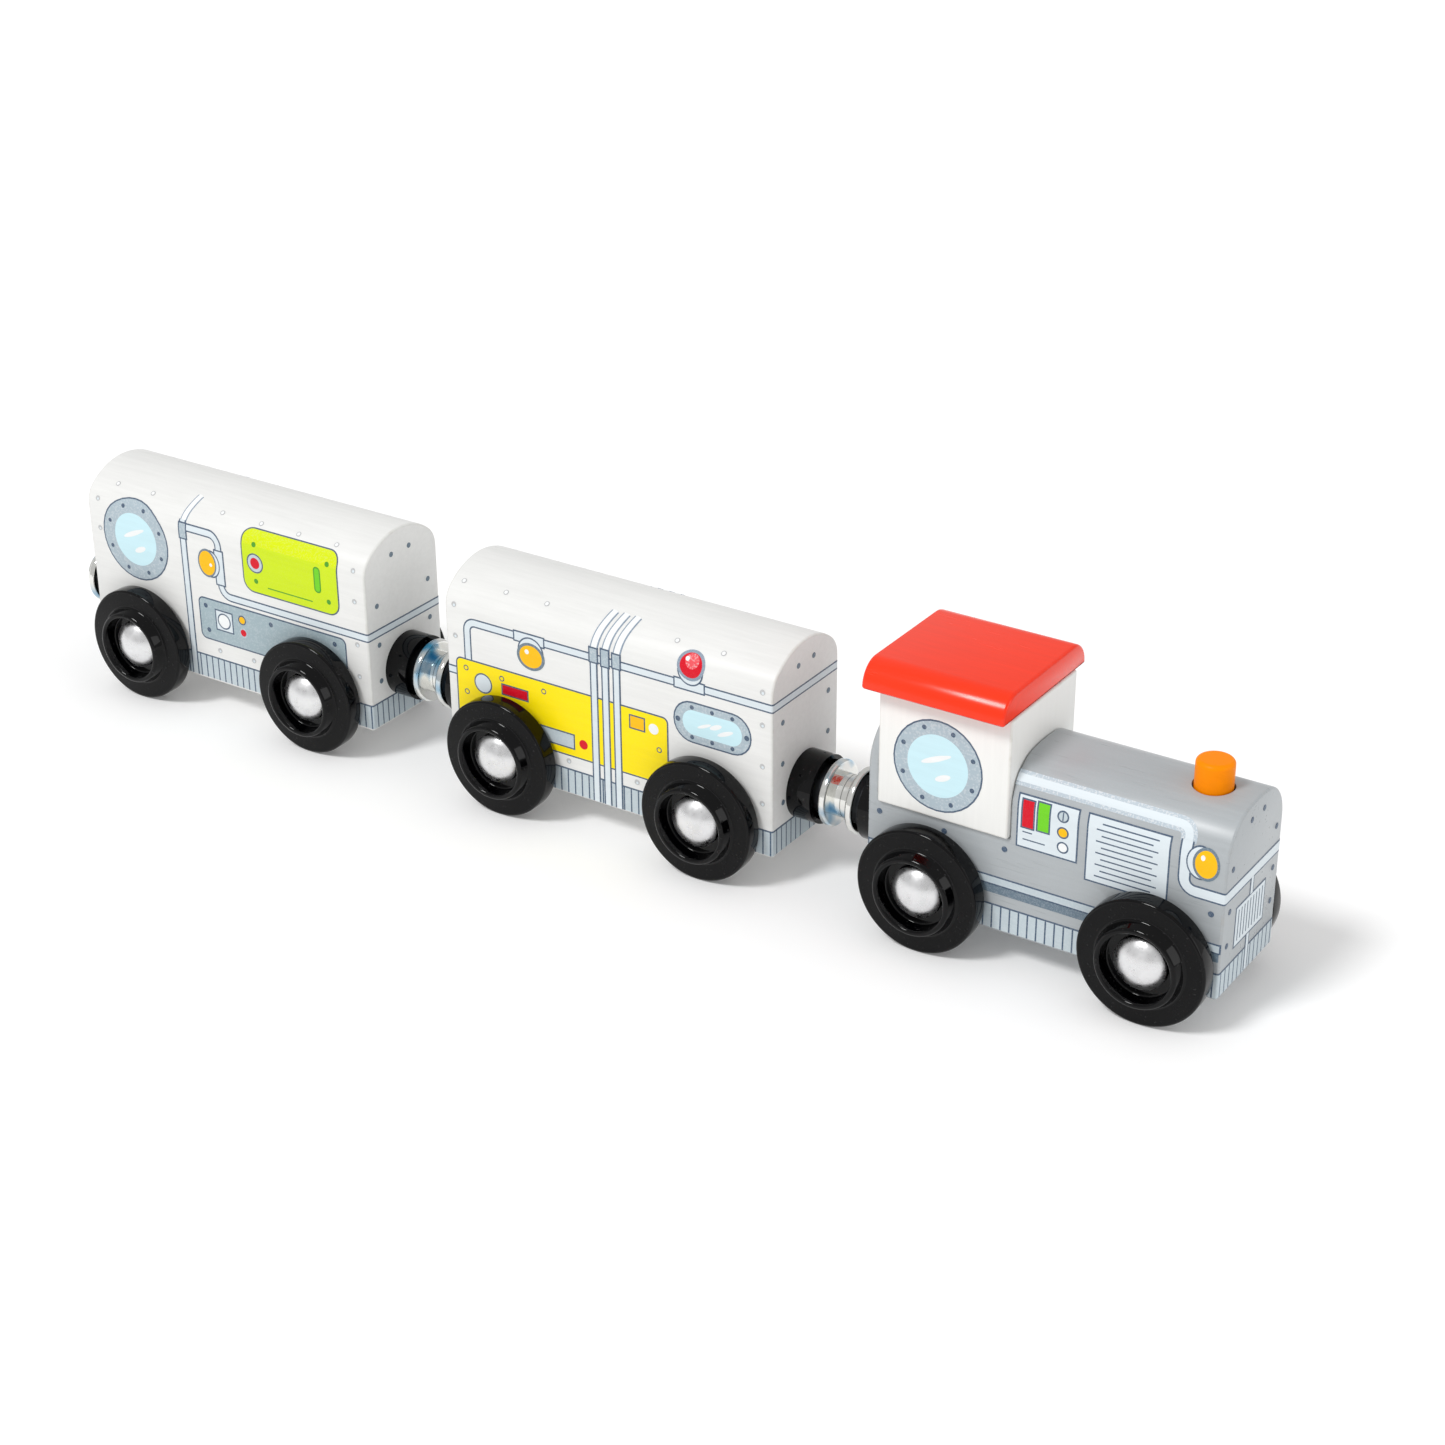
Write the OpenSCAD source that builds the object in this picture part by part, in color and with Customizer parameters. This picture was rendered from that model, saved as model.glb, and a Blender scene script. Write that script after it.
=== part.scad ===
// Wooden train set: an engine and two wagons on wooden-railway wheels, with magnetic couplings.
// +X is forward, +Y is the left side, +Z is up. The origin is on the floor under the middle of the train.
// Lengths are in millimetres.

/* [Wooden bodies] */
// Width of all three wooden bodies
body_w = 20.6; // [17:0.1:26]
// Gap between the floor and the underside of the bodies
ground_gap = 6; // [3:0.1:8]
// Length of each wagon's body
wagon_l = 68.2; // [56:0.1:90]
// Height of a wagon's crown above the floor
wagon_h = 42.9; // [35:0.1:55]
// Radius of a wagon's shoulders
wagon_shoulder_r = 4.9; // [3:0.1:7]
// Radius of a wagon's crown, more than half the body width
wagon_crown_r = 13.2; // [13:0.1:40]
// Length of the engine's body
engine_l = 62.8; // [50:0.1:80]
// Height of the engine's crown above the floor
engine_h = 37; // [30:0.1:46]
// Radius of the engine's shoulders
engine_shoulder_r = 7.6; // [4:0.1:8]
// Radius of the engine's crown, more than half the body width
engine_crown_r = 31.7; // [14:0.1:60]

/* [Cab and roof] */
// Length of the cab block
cab_l = 23.7; // [15:0.1:30]
// Width of the cab block, a little more than the body
cab_w = 22; // [21:0.1:30]
// Length of body left showing behind the cab
cab_setback = 2.1; // [1:0.1:8]
// Height of the cab above the engine's crown
cab_rise = 7.4; // [3:0.1:16]
// How far the cab's legs reach down below the engine's crown
cab_leg = 13.5; // [6:0.1:16]
// Width of the tongue of body that the cab sits over
tongue_w = 14; // [8:0.1:16]
// Drop from the engine's crown to the top of the tongue
tongue_drop = 3.5; // [2:0.1:5]
// Clearance all round in the joint between cab and body
joint_gap = 0.1; // [0.05:0.01:0.3]
// Width of the roof slab
roof_w = 27.6; // [24:0.1:38]
// Thickness of the roof slab
roof_t = 4.6; // [3:0.1:7]
// Radius of the roof's long top edges, less than its thickness
roof_edge_r = 4.2; // [1:0.1:4.2]
// Overhang of the roof behind the cab
roof_overhang = 1.8; // [0:0.1:6]

/* [Beacon] */
// Radius of the beacon peg
beacon_r = 3.1; // [2:0.1:5]
// Height of the beacon above the engine's crown
beacon_h = 4.6; // [2:0.1:8]
// Depth of the beacon's hole below the crown
beacon_depth = 5; // [3:0.1:10]
// Clearance round the beacon in its hole
beacon_gap = 0.3; // [0.1:0.05:0.6]
// Distance from the engine's front end to the beacon's axis
beacon_setback = 7.7; // [5:0.1:20]
// Radius of the beacon's rounded top edge
beacon_round = 0.8; // [0.3:0.1:1.5]

/* [Wheels and axles] */
// Radius of the wheels
wheel_r = 11; // [9:0.1:13.2]
// Width of a wheel's tread
wheel_w = 3.4; // [2.5:0.1:5]
// Gap between the body's side and the back of the wheel
wheel_gap = 0.8; // [0.5:0.1:2]
// Gap left between the body's side and the wheel's inner boss
boss_gap = 0.2; // [0.1:0.05:0.4]
// Radius of the wheel's inner boss
boss_r = 3.2; // [2.5:0.1:5]
// Radius of the raised collar where it leaves the wheel's face
collar_r = 7.6; // [6.5:0.1:8.5]
// How far the collar's lip stands out from the wheel's face
collar_h = 2; // [0.5:0.1:3]
// Radius of the collar's lip at its middle
lip_r = 6.5; // [6:0.1:7.5]
// Thickness of the collar's rounded lip
lip_t = 0.9; // [0.4:0.1:1.2]
// Depth of the hub recess below the wheel's face
recess_depth = 0.7; // [0.4:0.1:1.2]
// Distance between a wagon's axles
wagon_wheelbase = 42.2; // [30:0.1:50]
// Distance between the engine's axles
engine_wheelbase = 39.8; // [28:0.1:42]
// Radius of the axle rods
axle_r = 1.5; // [1:0.1:2]
// Radial running clearance of a wheel on its axle
axle_clear = 0.08; // [0.03:0.01:0.1]
// Radius of the domed axle caps
cap_r = 4.5; // [3.5:0.1:5]
// Height of a cap's dome above its rim
cap_dome = 1.8; // [0.8:0.1:2.5]
// Thickness of a cap's rim
cap_rim = 0.4; // [0.2:0.1:0.8]
// Gap between the recess floor and the cap's rim
cap_gap = 0.3; // [0.1:0.05:0.6]

/* [Magnetic couplings] */
// Height of the couplings' axis above the floor
coupling_z = 16; // [14:0.1:20]
// Reach of a coupling from the body's end to the plane where two couplings meet
coupling_reach = 9.2; // [7.6:0.1:14]
// Gap between two coupled pole faces
face_gap = 0.1; // [0.04:0.01:0.3]
// Radius of the black cup
cup_r = 6.1; // [5.9:0.1:8]
// Gap between the cup's rim and the pole's flange
cup_gap = 1.3; // [0.6:0.1:2.5]
// Wall of the cup
cup_wall = 0.8; // [0.5:0.1:0.9]
// Floor of the cup
cup_floor = 1.2; // [0.8:0.1:1.8]
// Radius of the ring magnet
magnet_r = 4.2; // [3.6:0.1:4.3]
// Radius of the ring magnet's hole
magnet_hole_r = 2.3; // [2.2:0.1:2.6]
// Space in the cup behind the ring magnet
magnet_lift = 1.4; // [0.8:0.1:2]
// Radius of the steel pole's flange
pole_r = 5.9; // [4.5:0.1:6.6]
// Thickness of the pole's flange
pole_t = 1.4; // [1:0.1:2]
// Radius of the pole's front boss
pole_boss_r = 3.9; // [3.6:0.1:4.6]
// Length of the pole's front boss
pole_boss_l = 1.85; // [1.5:0.05:2.5]
// Radius of the round edge on the pole's flange
pole_round = 0.5; // [0.2:0.1:0.6]
// Radius of the seat for the screw's head
seat_r = 2.9; // [2.6:0.1:3.2]
// Depth of the seat below the pole's face
seat_depth = 1.25; // [1.2:0.05:1.6]
// Radius of the hole through the pole
pole_hole_r = 1.6; // [1.55:0.05:1.8]
// Radius of the screw's shank
screw_r = 1.1; // [0.8:0.1:1.15]
// Radius of the screw's domed head
screw_head_r = 2.1; // [1.9:0.1:2.2]
// Height of the screw's head
screw_head_h = 0.55; // [0.4:0.05:0.6]
// Play under the screw's head that lets the pole swivel
head_play = 0.5; // [0.45:0.05:0.6]
// Depth that the screw goes into the wood
screw_grip = 8; // [5:0.1:9]

/* [Hidden] */
$fn = 96;
eps = 0.01;
fit_gap = 0.02; // radial gap that keeps a glued or screwed piece clear of its hole

// Places along the train
train_l = coupling_reach - face_gap / 2 + 2 * wagon_l + 4 * coupling_reach + engine_l;
tail_x = -train_l / 2 + coupling_reach - face_gap / 2 + wagon_l / 2;
middle_x = tail_x + wagon_l + 2 * coupling_reach;
engine_x = middle_x + wagon_l / 2 + 2 * coupling_reach + engine_l / 2;

// Cab and roof
cab_x0 = engine_x - engine_l / 2 + cab_setback;
cab_bottom = engine_h - cab_leg;
cab_top = engine_h + cab_rise;
tongue_top = engine_h - tongue_drop;

// Wheel sections, measured outwards from the back of the wheel
recess_floor = wheel_w - recess_depth;
lip_top = wheel_w + collar_h;
cap_base = recess_floor + cap_gap;
axle_end = cap_base + cap_rim + cap_dome / 2;
wheel_edge = 0.3;
recess_r = lip_r - lip_t / 2;

// Coupling sections, measured outwards from the body's end
pole_face = coupling_reach - face_gap / 2;
pole_step = pole_face - pole_boss_l;
pole_back = pole_step - pole_t;
cup_l = pole_back - cup_gap;
magnet_back = cup_floor + magnet_lift;
magnet_t = pole_back - magnet_back;
seat_floor = pole_face - seat_depth;
head_seat = seat_floor + head_play;
slot_w = 0.5;
slot_depth = 0.3;

// Outline of a body from its underside up to its crown, with round shoulders and a flatter crown
module body_outline(w, top, shoulder_r, crown_r) {
    reach = w / 2 - shoulder_r;
    crown_z = top - crown_r;
    drop = sqrt(pow(crown_r - shoulder_r, 2) - pow(reach, 2));
    side_z = crown_z + drop;
    lean = atan2(drop, reach);
    join_y = crown_r * cos(lean);
    join_z = crown_z + crown_r * sin(lean);
    polygon([
        [-w / 2, ground_gap], [w / 2, ground_gap], [w / 2, side_z], [reach, side_z],
        [join_y, join_z], [-join_y, join_z], [-reach, side_z], [-w / 2, side_z]
    ]);
    for (side = [-1, 1]) {
        intersection() {
            translate([side * reach, side_z]) circle(r = shoulder_r);
            polygon([
                [side * reach, side_z],
                [side * w, side_z],
                [side * w, side_z + w * tan(lean)],
                [side * join_y + side * w * cos(lean), join_z + w * sin(lean)],
                [side * join_y, join_z]
            ]);
        }
    }
    intersection() {
        translate([0, crown_z]) circle(r = crown_r);
        translate([-w, join_z]) square([2 * w, w]);
    }
}

// Round hole along X that starts at the body's end, for a coupling's screw
module screw_pilot(end_x, dir) {
    translate([end_x, 0, coupling_z]) rotate([0, 90 * dir, 0])
        translate([0, 0, -screw_grip]) cylinder(r = screw_r + fit_gap, h = screw_grip + eps);
}

module axle_hole(x, w) {
    translate([x, w / 2 + eps, wheel_r]) rotate([90, 0, 0])
        cylinder(r = axle_r + fit_gap, h = w + 2 * eps);
}

module block_body(x, l, top, shoulder_r, crown_r, wheelbase) {
    difference() {
        translate([x - l / 2, 0, 0]) rotate([90, 0, 90]) linear_extrude(height = l)
            body_outline(body_w, top, shoulder_r, crown_r);
        axle_hole(x - wheelbase / 2, body_w);
        axle_hole(x + wheelbase / 2, body_w);
    }
}

module engine_body() {
    color("lightslategray") difference() {
        block_body(engine_x, engine_l, engine_h, engine_shoulder_r, engine_crown_r, engine_wheelbase);
        // rebates on both sides and above leave the cab's tongue
        for (side = [-1, 1])
            translate([cab_x0 - joint_gap, side * (tongue_w + body_w) / 2 - body_w / 2,
                       cab_bottom - joint_gap])
                cube([cab_l + 2 * joint_gap, body_w, engine_h]);
        translate([cab_x0 - joint_gap, -body_w, tongue_top])
            cube([cab_l + 2 * joint_gap, 2 * body_w, engine_h]);
        translate([engine_x + engine_l / 2 - beacon_setback, 0, engine_h - beacon_depth])
            cylinder(r = beacon_r + beacon_gap, h = engine_h);
        screw_pilot(engine_x - engine_l / 2, -1);
    }
}

module wagon_body(x) {
    color("ghostwhite") difference() {
        block_body(x, wagon_l, wagon_h, wagon_shoulder_r, wagon_crown_r, wagon_wheelbase);
        screw_pilot(x - wagon_l / 2, -1);
        screw_pilot(x + wagon_l / 2, 1);
    }
}

module cab() {
    color("ghostwhite") difference() {
        translate([cab_x0, -cab_w / 2, cab_bottom])
            cube([cab_l, cab_w, cab_top - cab_bottom]);
        translate([cab_x0 - 1, -tongue_w / 2 - joint_gap, cab_bottom - 1])
            cube([cab_l + 2, tongue_w + 2 * joint_gap, tongue_top - cab_bottom + 1 + joint_gap]);
    }
}

module cab_roof() {
    color("tomato") translate([cab_x0 - roof_overhang, 0, cab_top]) rotate([90, 0, 90])
        linear_extrude(height = cab_l + roof_overhang) {
            translate([-roof_w / 2, 0]) square([roof_w, roof_t - roof_edge_r]);
            translate([-roof_w / 2 + roof_edge_r, 0]) square([roof_w - 2 * roof_edge_r, roof_t]);
            for (side = [-1, 1])
                intersection() {
                    translate([side * (roof_w / 2 - roof_edge_r), roof_t - roof_edge_r])
                        circle(r = roof_edge_r);
                    translate([side * roof_w / 2 - roof_edge_r, roof_t - roof_edge_r])
                        square([2 * roof_edge_r, roof_edge_r]);
                }
        }
}

module beacon() {
    full_h = beacon_depth + beacon_h;
    color("orange") translate([engine_x + engine_l / 2 - beacon_setback, 0, engine_h - beacon_depth])
        rotate_extrude() {
            square([beacon_r, full_h - beacon_round]);
            square([beacon_r - beacon_round, full_h]);
            intersection() {
                translate([beacon_r - beacon_round, full_h - beacon_round])
                    circle(r = beacon_round, $fn = 32);
                translate([beacon_r - beacon_round, full_h - beacon_round]) square(beacon_round);
            }
        }
}

// Puts an outward-facing wheel piece on one side: side is 1 for left and -1 for right
module on_side(x, side) {
    translate([x, side * (body_w / 2 + wheel_gap), wheel_r]) rotate([side * -90, 0, 0]) children();
}

module wheel(x, side) {
    color("black") on_side(x, side) difference() {
        union() {
            translate([0, 0, boss_gap - wheel_gap]) cylinder(r = boss_r, h = wheel_gap);
            rotate_extrude() {
                polygon([
                    [0, 0], [wheel_r - wheel_edge, 0], [wheel_r, wheel_edge],
                    [wheel_r, wheel_w - wheel_edge], [wheel_r - wheel_edge, wheel_w],
                    [collar_r, wheel_w], [lip_r + lip_t / 2, lip_top - lip_t / 2],
                    [lip_r - lip_t / 2, lip_top - lip_t / 2], [recess_r, recess_floor], [0, recess_floor]
                ]);
                translate([lip_r, lip_top - lip_t / 2]) circle(r = lip_t / 2, $fn = 32);
            }
        }
        translate([0, 0, -wheel_gap]) cylinder(r = axle_r + axle_clear, h = wheel_gap + wheel_w);
    }
}

module axle(x) {
    half = body_w / 2 + wheel_gap + axle_end;
    color("silver") translate([x, half, wheel_r]) rotate([90, 0, 0]) cylinder(r = axle_r, h = 2 * half);
}

module axle_caps(x) {
    ball_r = (pow(cap_r, 2) + pow(cap_dome, 2)) / (2 * cap_dome);
    color("gainsboro") for (side = [-1, 1])
        on_side(x, side) translate([0, 0, cap_base]) difference() {
            union() {
                cylinder(r = cap_r, h = cap_rim);
                intersection() {
                    translate([0, 0, cap_rim + cap_dome - ball_r]) sphere(r = ball_r);
                    translate([0, 0, cap_rim]) cylinder(r = cap_r, h = cap_dome + 1);
                }
            }
            translate([0, 0, -eps]) cylinder(r = axle_r + fit_gap, h = axle_end - cap_base + eps);
        }
}

// Puts a coupling piece on a body's end: dir is 1 for a front end and -1 for a rear end
module on_end(x, dir) {
    translate([x, 0, coupling_z]) rotate([0, 90 * dir, 0]) children();
}

module coupling_cup(x, dir) {
    color("black") on_end(x, dir) difference() {
        cylinder(r = cup_r, h = cup_l);
        translate([0, 0, cup_floor]) cylinder(r = cup_r - cup_wall, h = cup_l);
        translate([0, 0, -1]) cylinder(r = screw_r + fit_gap, h = cup_l);
    }
}

module coupling_magnet(x, dir) {
    color("dimgray") on_end(x, dir) translate([0, 0, magnet_back]) difference() {
        cylinder(r = magnet_r, h = magnet_t);
        translate([0, 0, -1]) cylinder(r = magnet_hole_r, h = magnet_t + 2);
    }
}

module coupling_pole(x, dir) {
    color("lightsteelblue") on_end(x, dir) difference() {
        union() {
            translate([0, 0, pole_back]) rotate_extrude() {
                square([pole_r - pole_round, pole_t]);
                translate([0, pole_round]) square([pole_r, pole_t - 2 * pole_round]);
                for (z = [pole_round, pole_t - pole_round])
                    translate([pole_r - pole_round, z]) circle(r = pole_round, $fn = 32);
            }
            translate([0, 0, pole_step - eps]) cylinder(r = pole_boss_r, h = pole_boss_l + eps);
        }
        translate([0, 0, pole_back - 1]) cylinder(r = pole_hole_r, h = pole_t + pole_boss_l + 2);
        translate([0, 0, seat_floor]) cylinder(r = seat_r, h = seat_depth + 1);
    }
}

module coupling_screw(x, dir) {
    ball_r = (pow(screw_head_r, 2) + pow(screw_head_h, 2)) / (2 * screw_head_h);
    color("silver") on_end(x, dir) difference() {
        union() {
            translate([0, 0, -screw_grip]) cylinder(r = screw_r, h = screw_grip + head_seat + eps);
            intersection() {
                translate([0, 0, head_seat + screw_head_h - ball_r]) sphere(r = ball_r);
                translate([0, 0, head_seat]) cylinder(r = screw_head_r + 1, h = screw_head_h + 1);
            }
        }
        for (turn = [0, 90])
            rotate([0, 0, turn]) translate([-screw_r, -slot_w / 2, head_seat + screw_head_h - slot_depth])
                cube([2 * screw_r, slot_w, slot_depth + 1]);
    }
}

// Ends and axles
engine_back = engine_x - engine_l / 2;
middle_front = middle_x + wagon_l / 2;
middle_back = middle_x - wagon_l / 2;
tail_front = tail_x + wagon_l / 2;
tail_back = tail_x - wagon_l / 2;
engine_axle = engine_wheelbase / 2;
wagon_axle = wagon_wheelbase / 2;

engine_body();
cab();
cab_roof();
beacon();
wagon_body(middle_x);  // middle_wagon_body
wagon_body(tail_x);  // tail_wagon_body
wheel(engine_x + engine_axle, 1);  // engine_wheel_front_left
wheel(engine_x + engine_axle, -1);  // engine_wheel_front_right
wheel(engine_x - engine_axle, 1);  // engine_wheel_rear_left
wheel(engine_x - engine_axle, -1);  // engine_wheel_rear_right
wheel(middle_x + wagon_axle, 1);  // middle_wheel_front_left
wheel(middle_x + wagon_axle, -1);  // middle_wheel_front_right
wheel(middle_x - wagon_axle, 1);  // middle_wheel_rear_left
wheel(middle_x - wagon_axle, -1);  // middle_wheel_rear_right
wheel(tail_x + wagon_axle, 1);  // tail_wheel_front_left
wheel(tail_x + wagon_axle, -1);  // tail_wheel_front_right
wheel(tail_x - wagon_axle, 1);  // tail_wheel_rear_left
wheel(tail_x - wagon_axle, -1);  // tail_wheel_rear_right
axle(engine_x + engine_axle);  // engine_front_axle
axle(engine_x - engine_axle);  // engine_rear_axle
axle(middle_x + wagon_axle);  // middle_front_axle
axle(middle_x - wagon_axle);  // middle_rear_axle
axle(tail_x + wagon_axle);  // tail_front_axle
axle(tail_x - wagon_axle);  // tail_rear_axle
axle_caps(engine_x + engine_axle);  // engine_front_axle_caps
axle_caps(engine_x - engine_axle);  // engine_rear_axle_caps
axle_caps(middle_x + wagon_axle);  // middle_front_axle_caps
axle_caps(middle_x - wagon_axle);  // middle_rear_axle_caps
axle_caps(tail_x + wagon_axle);  // tail_front_axle_caps
axle_caps(tail_x - wagon_axle);  // tail_rear_axle_caps
coupling_cup(engine_back, -1);  // engine_rear_cup
coupling_magnet(engine_back, -1);  // engine_rear_magnet
coupling_pole(engine_back, -1);  // engine_rear_pole
coupling_screw(engine_back, -1);  // engine_rear_screw
coupling_cup(middle_front, 1);  // middle_front_cup
coupling_magnet(middle_front, 1);  // middle_front_magnet
coupling_pole(middle_front, 1);  // middle_front_pole
coupling_screw(middle_front, 1);  // middle_front_screw
coupling_cup(middle_back, -1);  // middle_rear_cup
coupling_magnet(middle_back, -1);  // middle_rear_magnet
coupling_pole(middle_back, -1);  // middle_rear_pole
coupling_screw(middle_back, -1);  // middle_rear_screw
coupling_cup(tail_front, 1);  // tail_front_cup
coupling_magnet(tail_front, 1);  // tail_front_magnet
coupling_pole(tail_front, 1);  // tail_front_pole
coupling_screw(tail_front, 1);  // tail_front_screw
coupling_cup(tail_back, -1);  // tail_rear_cup
coupling_magnet(tail_back, -1);  // tail_rear_magnet
coupling_pole(tail_back, -1);  // tail_rear_pole
coupling_screw(tail_back, -1);  // tail_rear_screw
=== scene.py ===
import bmesh
import bpy
from math import atan2, cos, pi, radians, sin, sqrt
from mathutils import Matrix, Vector


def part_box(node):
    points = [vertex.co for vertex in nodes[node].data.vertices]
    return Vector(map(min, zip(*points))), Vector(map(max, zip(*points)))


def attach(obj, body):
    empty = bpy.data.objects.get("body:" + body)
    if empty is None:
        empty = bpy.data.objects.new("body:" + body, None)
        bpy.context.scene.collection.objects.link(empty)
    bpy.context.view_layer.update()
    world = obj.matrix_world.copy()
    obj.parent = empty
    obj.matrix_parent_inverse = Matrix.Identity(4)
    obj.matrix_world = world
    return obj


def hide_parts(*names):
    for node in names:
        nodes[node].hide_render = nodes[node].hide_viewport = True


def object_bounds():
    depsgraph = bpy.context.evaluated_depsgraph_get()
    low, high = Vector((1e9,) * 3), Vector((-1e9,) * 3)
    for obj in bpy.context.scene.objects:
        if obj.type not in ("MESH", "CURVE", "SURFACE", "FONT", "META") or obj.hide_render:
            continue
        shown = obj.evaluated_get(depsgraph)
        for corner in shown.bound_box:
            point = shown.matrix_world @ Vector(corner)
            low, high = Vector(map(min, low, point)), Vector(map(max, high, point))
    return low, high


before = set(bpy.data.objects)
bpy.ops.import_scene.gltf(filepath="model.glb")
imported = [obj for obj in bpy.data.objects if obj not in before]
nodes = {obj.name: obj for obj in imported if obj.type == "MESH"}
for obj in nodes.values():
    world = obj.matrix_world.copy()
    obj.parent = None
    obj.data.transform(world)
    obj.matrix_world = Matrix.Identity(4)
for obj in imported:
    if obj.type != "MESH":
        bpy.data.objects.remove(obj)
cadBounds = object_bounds()
scene = bpy.context.scene
mm = 0.001


# small helpers for working by hand in object and edit mode

def selectOnly(obj):
    bpy.ops.object.select_all(action="DESELECT")
    obj.select_set(True)
    bpy.context.view_layer.objects.active = obj


def editMode(obj):
    selectOnly(obj)
    bpy.ops.object.mode_set(mode="EDIT")


def objectMode():
    bpy.ops.object.mode_set(mode="OBJECT")


def applyModifier(obj, kind, **settings):
    selectOnly(obj)
    modifier = obj.modifiers.new("step", kind)
    for key, value in settings.items():
        setattr(modifier, key, value)
    bpy.ops.object.modifier_apply(modifier="step")


def smoothed(obj, angle):
    selectOnly(obj)
    bpy.ops.object.shade_smooth_by_angle(angle=radians(angle))
    return obj


def copyOfMesh(obj, name):
    made = bpy.data.objects.new(name, obj.data.copy())
    made.data.name = name
    scene.collection.objects.link(made)
    return made


def pickFaces(obj, test):
    # selects the faces whose middle and normal pass the test
    mesh = bmesh.from_edit_mesh(obj.data)
    bpy.ops.mesh.select_mode(type="FACE")
    for face in mesh.faces:
        face.select_set(bool(test(face.calc_center_median(), face.normal)))
    mesh.select_flush_mode()
    bmesh.update_edit_mesh(obj.data)


def pickEdges(obj, test, amongSelected=False):
    mesh = bmesh.from_edit_mesh(obj.data)
    chosen = [e for e in mesh.edges if (e.select or not amongSelected) and test(e)]
    bpy.ops.mesh.select_mode(type="EDGE")
    bpy.ops.mesh.select_all(action="DESELECT")
    mesh = bmesh.from_edit_mesh(obj.data)
    for edge in chosen:
        edge.select_set(True)
    bmesh.update_edit_mesh(obj.data)


# materials

class Level:
    # one number that varies over a surface; arithmetic on it adds Math nodes
    def __init__(self, finish, socket):
        self.finish, self.socket = finish, socket

    def maths(self, operation, first, second=0.0):
        return self.finish.node("ShaderNodeMath", {"operation": operation}, {0: first, 1: second})

    def __add__(self, other):
        return self.maths("ADD", self, other)

    def __sub__(self, other):
        return self.maths("SUBTRACT", self, other)

    def __mul__(self, other):
        return self.maths("MULTIPLY", self, other)

    __radd__ = __add__


class Finish:
    # a material whose fixed values sit on the Principled shader's own sockets
    def __init__(self, name, **fixed):
        self.material = bpy.data.materials.new(name)
        self.material.use_nodes = True
        self.tree = self.material.node_tree
        self.skin = self.tree.nodes["Principled BSDF"]
        for key, value in fixed.items():
            self.skin.inputs[key.replace("_", " ")].default_value = value

    def node(self, kind, settings=None, sockets=None, output=0):
        made = self.tree.nodes.new(kind)
        for key, value in (settings or {}).items():
            setattr(made, key, value)
        for key, value in (sockets or {}).items():
            if isinstance(value, Level):
                self.tree.links.new(value.socket, made.inputs[key])
            else:
                made.inputs[key].default_value = value
        return Level(self, made.outputs[output])

    def feed(self, name, level):
        self.tree.links.new(level.socket, self.skin.inputs[name])

    def place(self, stretch=(1, 1, 1)):
        spot = self.node("ShaderNodeTexCoord", output="Object")
        return self.node("ShaderNodeMapping", {}, {"Vector": spot, "Scale": stretch})

    def noise(self, size, stretch=(1, 1, 1), detail=3.0, rough=0.5):
        return self.node("ShaderNodeTexNoise", {}, {
            "Vector": self.place(stretch), "Scale": 1 / size, "Detail": detail, "Roughness": rough})

    def ramp(self, level, low, high):
        return self.node("ShaderNodeMapRange", {}, {
            "Value": level, "From Min": low, "From Max": high, "To Min": 0.0, "To Max": 1.0})

    def mix(self, factor, first, second):
        return self.node("ShaderNodeMix", {"data_type": "RGBA"},
                         {"Factor": factor, "A": first, "B": second}, output=2)

    def bump(self, height, strength, distance):
        self.feed("Normal", self.node("ShaderNodeBump", {}, {
            "Height": height, "Strength": strength, "Distance": distance}))


def paint(red, green, blue):
    # a colour given in 0-255 steps, made linear
    steps = [c / 255 for c in (red, green, blue)]
    return tuple(c / 12.92 if c < 0.04045 else ((c + 0.055) / 1.055) ** 2.4 for c in steps) + (1,)


def shade(colour, k):
    return tuple(c * k for c in colour[:3]) + (1,)


def mixed(first, second, share):
    return tuple(a * (1 - share) + b * share for a, b in zip(first, second))


def paintedWood(name, colour, grain=0.5, gloss=0.42, speck=0.0, wear=0.0, ior=1.38, way=(0.07, 1, 1)):
    # paint over close-grained wood: faint lines along the grain's way, brush mottling and a few pores
    f = Finish(name, Base_Color=colour, IOR=ior)
    lines = f.noise(0.0009, way, 4, 0.65)
    pores = f.ramp(f.noise(0.0005, way, 2), 0.66, 0.78)
    cloud = f.noise(0.016, detail=2)
    tone = f.ramp(cloud * 0.3 + lines * 0.7, 0.36, 0.64)
    body = f.mix(tone, shade(colour, 1 - 0.07 * grain), shade(colour, 1 + 0.05 * grain))
    body = f.mix(pores * (0.08 * grain), body, shade(colour, 0.7))
    if speck:
        dust = f.ramp(f.noise(0.00022, detail=1), 0.6, 0.68)
        body = f.mix(dust * speck, body, shade(colour, 1.35))
    if wear:
        # rubbed edges, where the wood shows warm through thin paint
        rub = f.ramp(f.noise(0.0022, (0.5, 1, 1), 4, 0.7), 0.5, 0.7)
        body = f.mix(rub * wear, body, mixed(colour, (0.42, 0.34, 0.25, 1), 0.5))
    f.feed("Base Color", body)
    f.feed("Roughness", gloss + (lines - 0.5) * 0.26 + (cloud - 0.5) * 0.12)
    f.bump(lines * 0.7 + pores * -0.06, 0.3 * grain + 0.04, 0.00005)
    return f.material


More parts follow.
